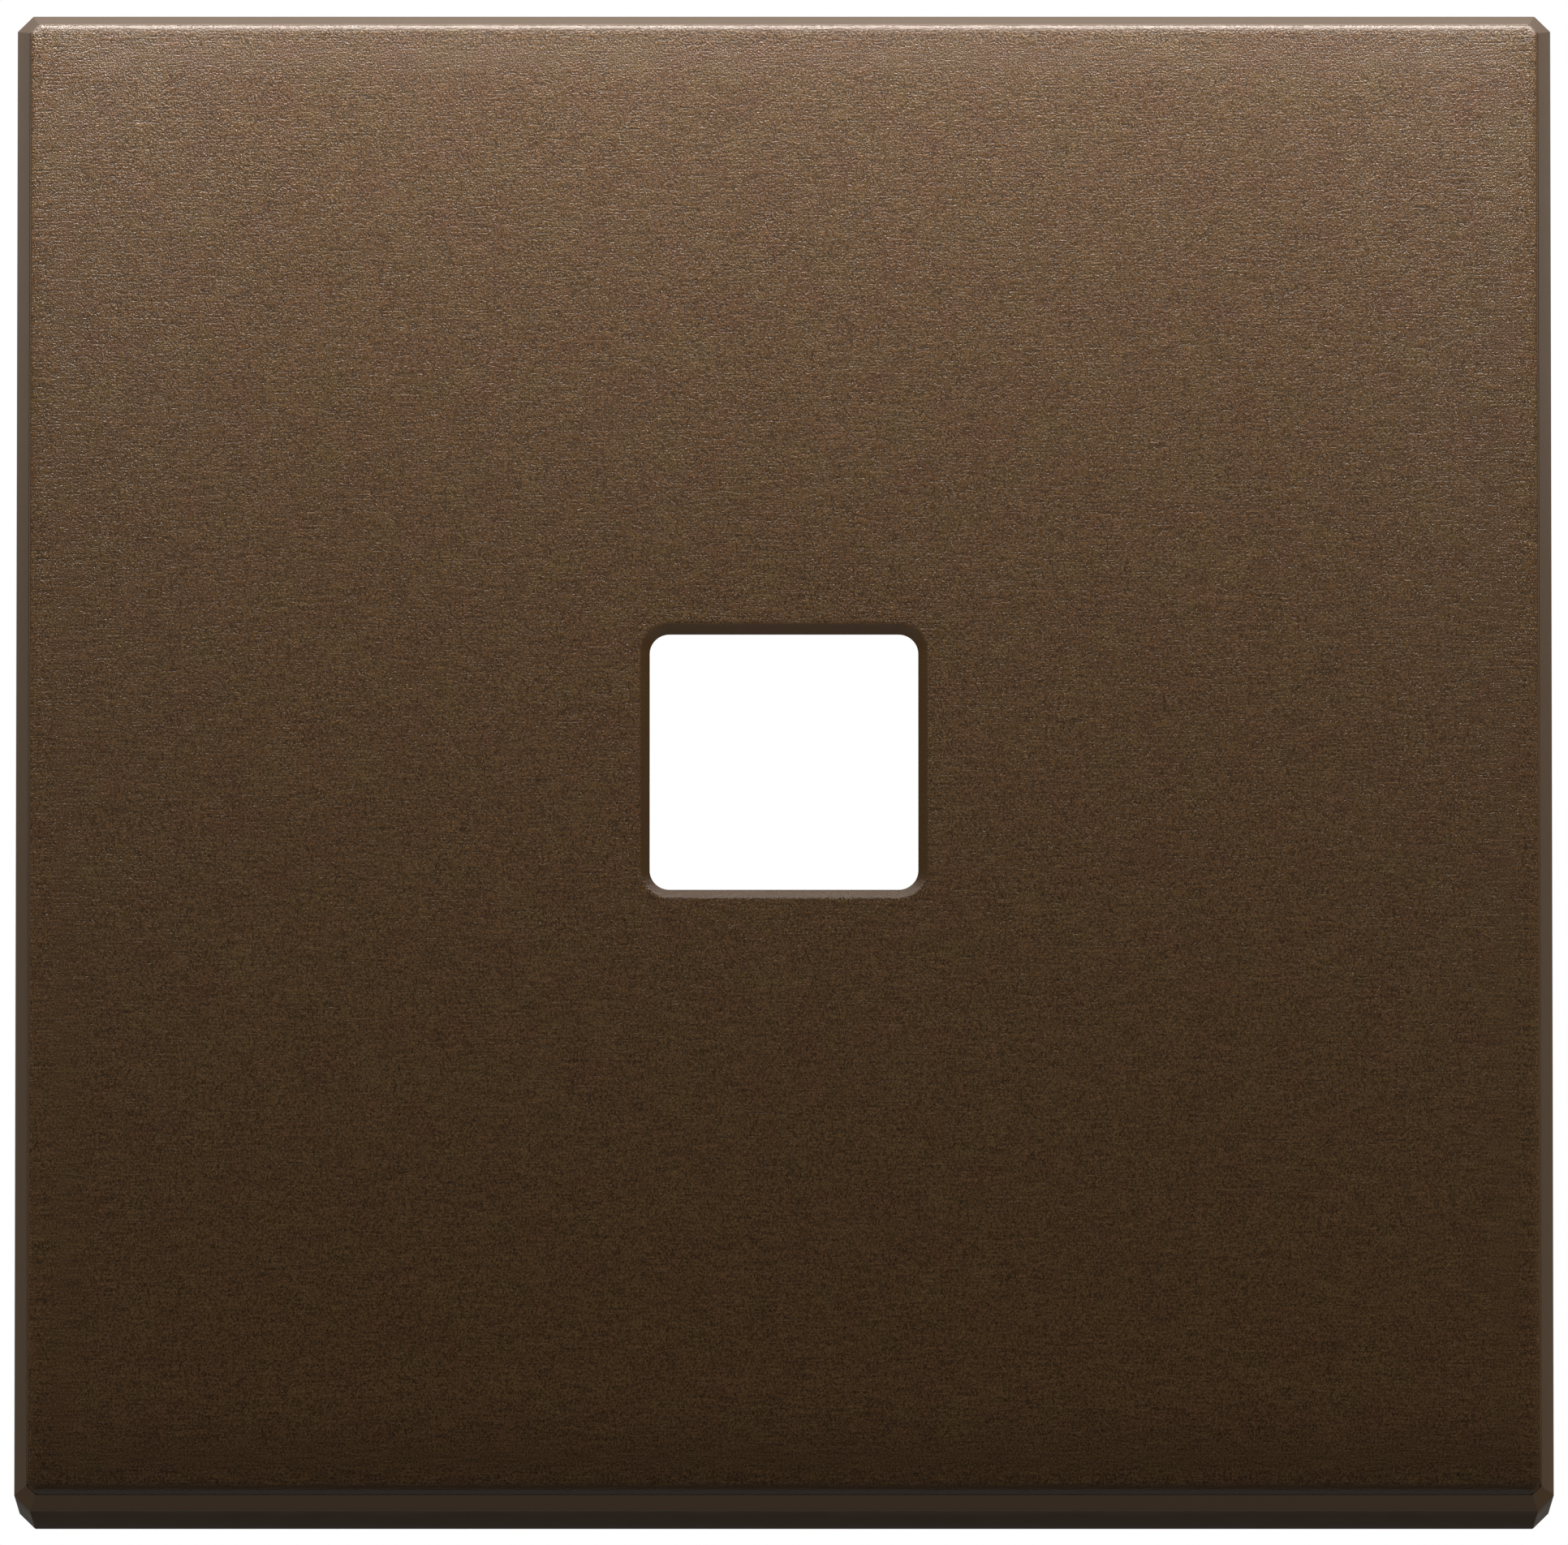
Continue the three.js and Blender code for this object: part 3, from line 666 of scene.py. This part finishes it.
class COVER_OT_face_plate(bpy.types.Operator):
    """Adds the brushed face plate with its rolled edge and lipped opening"""

    bl_idname = "cover.face_plate"
    bl_label = "Face plate"

    def execute(self, context):
        s = context.scene.cover_sizes
        half = s.cover_size / 2 - s.bevel_width - SHADOW_GAP

        def edge(inset, z):
            return cut_square(half - inset, FACE_CORNER_LEG, FACE_CORNER_RADIUS, z)

        def opening(margin, z):
            return round_rectangle(
                s.opening_width / 2 + margin,
                s.opening_height / 2 + margin,
                s.opening_radius + margin,
                -s.opening_drop,
                z,
            )

        # Quarter ellipse: inset = width (1 - cos a), z = crown - depth (1 - sin a)
        angles = np.linspace(0, math.pi / 2, ROLL_STEPS + 1)
        low = COVER_HEIGHT - CROWN_DROP
        roll = [
            edge(s.roll_width * (1 - math.cos(a)), low - s.roll_depth * (1 - math.sin(a)))
            for a in angles
        ]
        # Crown: z = face - drop (1 - t)^power, at t of its width
        crown = [
            edge(s.roll_width + CROWN_WIDTH * t, COVER_HEIGHT - CROWN_DROP * (1 - t) ** CROWN_POWER)
            for t in np.linspace(0, 1, CROWN_STEPS + 1)[1:]
        ]
        land = COVER_HEIGHT - s.lip_depth - LIP_LAND
        rows = [
            (edge(0, SHEET_BACK), SHEET_BACK_BREAK),
            *[(row, 0) for row in roll],
            *[(row, 0) for row in crown],
            (edge(s.roll_width + CROWN_WIDTH + SUPPORT, COVER_HEIGHT), 0),
            (opening(s.lip_width + SUPPORT + LIP_EDGE_SOFTNESS, COVER_HEIGHT), 0),
            (opening(s.lip_width, COVER_HEIGHT), LIP_EDGE_SOFTNESS),
            (opening(0, COVER_HEIGHT - s.lip_depth), LIP_EDGE_SOFTNESS / 3),
            (opening(0, land), LIP_EDGE_SOFTNESS / 3),
            (opening(land - SHEET_BACK, SHEET_BACK), LIP_EDGE_SOFTNESS / 3),
        ]
        sections = softened(*zip(*rows))
        colour = context.scene.cover_colours.face
        plate = make_piece("face_sheet", [ring(sections)], brushed_bronze(colour))
        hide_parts("face_plate")
        return {"FINISHED"}


class COVER_OT_adhesive_film(bpy.types.Operator):
    """Finishes the adhesive film, whose CAD solid is kept"""

    bl_idname = "cover.adhesive_film"
    bl_label = "Adhesive film"

    def execute(self, context):
        film = frame["nodes"]["face_adhesive"]
        film.data.materials.clear()
        film.data.materials.append(adhesive_film(context.scene.cover_colours.film))
        return {"FINISHED"}


class COVER_OT_shell(bpy.types.Operator):
    """Adds the shell with its bevel, skirt, web, collar, gussets and staked posts"""

    bl_idname = "cover.shell"
    bl_label = "Shell"

    def execute(self, context):
        s = context.scene.cover_sizes
        half = s.cover_size / 2
        bevel_top = COVER_HEIGHT - s.face_proud
        cavity = half - SKIRT_DRAFT - SKIRT_WALL
        pocket_leg = FACE_CORNER_LEG + SHADOW_GAP * (2 - math.sqrt(2))

        def skirt(inset, z, leg=s.corner_leg):
            return cut_square(half - inset, leg, CORNER_SOFTNESS, z)

        def web(margin, z):
            opening = WEB_OPENING_HALF + margin
            return round_rectangle(opening, opening, WEB_OPENING_RADIUS + margin, -s.opening_drop, z)

        def inside(inset, z):
            return cut_square(cavity - inset, CAVITY_CORNER_LEG, CAVITY_RADIUS, z)

        rows = [
            (skirt(SKIRT_DRAFT, 0), RIM_BREAK),
            (skirt(0, bevel_top - s.bevel_depth), EDGE_SOFTNESS),
            (skirt(s.bevel_width, bevel_top, pocket_leg), BEVEL_TOP_SOFTNESS),
            (skirt(s.bevel_width, SHELF, pocket_leg), 0),
            (web(0, SHELF), MOULD_EDGE),
            (web(0, WEB_BACK - COLLAR_HEIGHT), MOULD_EDGE),
            (web(COLLAR_WALL, WEB_BACK - COLLAR_HEIGHT), MOULD_EDGE),
            (web(COLLAR_WALL, WEB_BACK), FILLET),
            (inside(CAVITY_DRAFT, WEB_BACK), FILLET),
            (inside(0, 0), RIM_BREAK),
        ]
        body = ring(softened(*zip(*rows)))
        wall = cavity - CAVITY_DRAFT
        gusset = np.array(
            [
                (wall + ROOTING, GUSSET_RIM_GAP),
                (wall, GUSSET_RIM_GAP),
                (wall - GUSSET_REACH, WEB_BACK),
                (wall - GUSSET_REACH, WEB_BACK + ROOTING),
                (wall + ROOTING, WEB_BACK + ROOTING),
            ]
        )
        gussets = [
            prism(gusset, GUSSET_THICKNESS, share * cavity, quarter * math.pi / 2)
            for quarter in range(4)
            for share in GUSSET_SHARES
        ]
        # Staked head: r = R sin a, z = seat - H cos a
        seat = FRAME_BACK - CONTACT_GAP
        dome = np.linspace(0, math.pi / 2, DOME_STEPS + 1)
        post = np.vstack(
            (
                np.column_stack((POST_HEAD_RADIUS * np.sin(dome), seat - POST_HEAD_HEIGHT * np.cos(dome))),
                ((POST_RADIUS, seat), (POST_RADIUS, WEB_BACK + ROOTING), (0, WEB_BACK + ROOTING)),
            )
        )
        posts = [
            turned(post, column * POST_REACH, row * POST_REACH)
            for column in (-1, 0, 1)
            for row in (-1, 0, 1)
            if column or row
        ]
        material = lacquered_bronze(context.scene.cover_colours.shell)
        shell = make_piece("shell_moulding", [body, *gussets, *posts], material)
        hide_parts("cover_shell")
        return {"FINISHED"}


class COVER_OT_clip_frame(bpy.types.Operator):
    """Finishes the clip frame, whose CAD solid is kept, with rounded edges"""

    bl_idname = "cover.clip_frame"
    bl_label = "Clip frame"

    def execute(self, context):
        clip = frame["nodes"]["clip_frame"]
        clip.data.materials.clear()
        clip.data.materials.append(moulded_black(context.scene.cover_colours.frame))
        weld = clip.modifiers.new("Weld", "WELD")
        weld.merge_threshold = MERGE
        round_edges(clip, MOULD_EDGE)
        return {"FINISHED"}


class COVER_OT_retaining_springs(bpy.types.Operator):
    """Adds the four retaining springs, each bent from a slotted strip"""

    bl_idname = "cover.retaining_springs"
    bl_label = "Retaining springs"

    def execute(self, context):
        thickness = context.scene.cover_sizes.strip_thickness
        material = spring_steel(context.scene.cover_colours.spring)
        across = np.array((-STRIP_WIDTH / 2, -SLOT_HALF_WIDTH, SLOT_HALF_WIDTH, STRIP_WIDTH / 2))
        path = spring_path()
        x, z = path[:, 0, None], path[:, 1, None]
        points = np.stack(np.broadcast_arrays(x, across, z), axis=-1)
        faces = grid_faces(*points.shape[:2])
        # The slot for the leg's nib is the middle face of each row between its two ends
        height = points[..., 2].ravel()[faces].mean(axis=1)
        row, column = np.divmod(np.arange(len(faces)), len(across) - 1)
        inner = points[..., 0].ravel()[faces].mean(axis=1) < 0
        slot = (column == 1) & inner & (height < SLOT_TOP) & (height > SLOT_FOOT)
        for side in (-1, 1):
            for level in (-1, 1):
                name = f"spring_{'upper' if level > 0 else 'lower'}_{'right' if side > 0 else 'left'}"
                turn = 0 if side > 0 else math.pi
                placed = turned_about_z(points.reshape(-1, 3), turn)
                placed += (side * LEG_ACROSS, level * LEG_ALONG, 0)
                spring = make_piece(name, [(placed, faces[~slot])], material, closed=False)
                solid = spring.modifiers.new("Strip thickness", "SOLIDIFY")
                solid.thickness = thickness
                solid.offset = 0
                round_edges(spring, STRIP_EDGE, segments=1)
                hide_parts(f"retaining_{name}")
        return {"FINISHED"}


def spring_path():
    """Mid-line of the strip as (x, z): down the inner limb, round the leg's end, and up the bowed outer limb.

    The round end is centre + radius * (cos a, sin a) over half a turn. The outer limb is a Catmull-Rom curve,
    a + b t + c t^2 + d t^3 between neighbouring points, whose slope at a point is half the step across it.
    """
    inner = np.array([(-STRIP_MID, z) for z in (SPRING_TOP, SLOT_TOP, SLOT_FOOT)])
    angle = np.linspace(math.pi, 2 * math.pi, TIP_STEPS + 1)
    tip = np.column_stack((STRIP_MID * np.cos(angle), STRIP_MID * np.sin(angle) - LEG_LENGTH))
    knots = SPRING_LIMB_SHARES * (SPRING_REACH, SPRING_LIMB) + (STRIP_MID, -LEG_LENGTH)
    last = len(knots) - 1
    along = np.linspace(0, last, LIMB_STEPS + 1)[1:]
    first = np.minimum(along.astype(int), last - 1)
    t = (along - first)[:, None]
    p0, p1, p2, p3 = (knots[np.clip(first + k, 0, last)] for k in (-1, 0, 1, 2))
    v0, v1 = (p2 - p0) / 2, (p3 - p1) / 2
    limb = p1 + v0 * t + (3 * (p2 - p1) - 2 * v0 - v1) * t**2 + (2 * (p1 - p2) + v0 + v1) * t**3
    return np.vstack((inner, tip, limb))


class COVER_OT_studio(bpy.types.Operator):
    """Adds the camera, the pale floor, the soft lamps and the graded surround"""

    bl_idname = "cover.studio"
    bl_label = "Studio"

    def execute(self, context):
        scene = context.scene
        scene.view_settings.view_transform = "Standard"

        camera_data = bpy.data.cameras.new("camera")
        camera_data.sensor_width = SENSOR
        camera_data.lens = SENSOR * CAMERA_DISTANCE / VIEW_WIDTH
        camera_data.clip_start, camera_data.clip_end = CAMERA_CLIP
        camera = bpy.data.objects.new("camera", camera_data)
        towards = Vector((0, -math.cos(CAMERA_ELEVATION), math.sin(CAMERA_ELEVATION)))
        camera.location = CAMERA_AIM + towards * CAMERA_DISTANCE
        camera.rotation_euler = (-towards).to_track_quat("-Z", "Y").to_euler()
        scene.collection.objects.link(camera)
        scene.camera = camera

        signs = ((-1, -1), (1, -1), (1, 1), (-1, 1))
        corners = [(x * FLOOR_HALF, y * FLOOR_HALF, FLOOR_LEVEL) for x, y in signs]
        floor_mesh = bpy.data.meshes.new("floor")
        floor_mesh.from_pydata(corners, [], [(0, 1, 2, 3)])
        floor_mesh.materials.append(matt_floor(scene.cover_colours.floor))
        floor = bpy.data.objects.new("floor", floor_mesh)
        scene.collection.objects.link(floor)

        for lamp in LAMPS:
            add_lamp(scene, *lamp)
        surround(scene)
        return {"FINISHED"}


def add_lamp(scene, name, place, aim, size, power, in_reflections):
    """Rectangular soft lamp at a place, turned to its aim and unseen by the camera."""
    data = bpy.data.lights.new(name, "AREA")
    data.shape = "RECTANGLE"
    data.size, data.size_y = size
    data.energy = power
    lamp = bpy.data.objects.new(name, data)
    lamp.location = place
    lamp.rotation_euler = (Vector(aim) - Vector(place)).to_track_quat("-Z", "Y").to_euler()
    lamp.visible_camera = False
    lamp.visible_glossy = in_reflections
    scene.collection.objects.link(lamp)


def surround(scene):
    """Surround that is plain white to the camera and graded to every other ray, reflections included.

    To those it is palest above and behind the object, and darkens towards the horizon and the camera's side,
    because the lower half of the photographed face has almost no neutral reflection.
    """
    world = bpy.data.worlds.new("surround")
    scene.world = world
    world.use_nodes = True
    tree = world.node_tree
    tree.nodes.clear()
    ray = add_node(tree, "LightPath")
    direction = add_node(tree, "TexCoord")
    split = add_node(tree, "SeparateXYZ", {0: direction.outputs["Generated"]})
    above = add_node(
        tree,
        "MapRange",
        {"Value": split.outputs["Z"], "From Min": SURROUND_RISE[0], "From Max": SURROUND_RISE[1]},
    )
    behind = add_node(
        tree,
        "MapRange",
        {"Value": split.outputs["Y"], "From Min": SURROUND_FRONT[0], "From Max": SURROUND_FRONT[1]},
        interpolation_type="SMOOTHSTEP",
    )
    backdrop = add_node(tree, "Math", {0: above, 1: behind}, operation="MULTIPLY")
    glow = add_node(tree, "Math", {0: backdrop, 1: SURROUND}, operation="MULTIPLY")
    level = add_node(tree, "Math", {0: glow, 1: ray.outputs["Is Camera Ray"]}, operation="MAXIMUM")
    background = add_node(tree, "Background", {"Color": (1, 1, 1, 1), "Strength": level})
    add_node(tree, "OutputWorld", {"Surface": background})


class COVER_PT_panel(bpy.types.Panel):
    """Lists the pieces, sizes and colours of the cover plate"""

    bl_idname = "COVER_PT_panel"
    bl_label = "Cover plate"
    bl_space_type = "VIEW_3D"
    bl_region_type = "UI"
    bl_category = "Cover plate"

    def draw(self, context):
        for group in (context.scene.cover_sizes, context.scene.cover_colours):
            column = self.layout.column(align=True)
            for name in group.__annotations__:
                column.prop(group, name)
        for operator in PIECES:
            self.layout.operator(operator.bl_idname)


PIECES = (
    COVER_OT_studio,
    COVER_OT_face_plate,
    COVER_OT_adhesive_film,
    COVER_OT_shell,
    COVER_OT_clip_frame,
    COVER_OT_retaining_springs,
)
CLASSES = (CoverSizes, CoverColours, *PIECES, COVER_PT_panel)


def register():
    """Makes the sizes, the colours, the operators and the panel known to Blender."""
    for item in CLASSES:
        bpy.utils.register_class(item)
    bpy.types.Scene.cover_sizes = bpy.props.PointerProperty(type=CoverSizes)
    bpy.types.Scene.cover_colours = bpy.props.PointerProperty(type=CoverColours)


def unregister():
    """Takes back what register() adds."""
    del bpy.types.Scene.cover_colours
    del bpy.types.Scene.cover_sizes
    for item in reversed(CLASSES):
        bpy.utils.unregister_class(item)


def main():
    """Builds the studio and every piece."""
    register()
    bpy.ops.cover.studio()
    bpy.ops.cover.face_plate()
    bpy.ops.cover.adhesive_film()
    bpy.ops.cover.shell()
    bpy.ops.cover.clip_frame()
    bpy.ops.cover.retaining_springs()


if __name__ == "__main__":
    main()
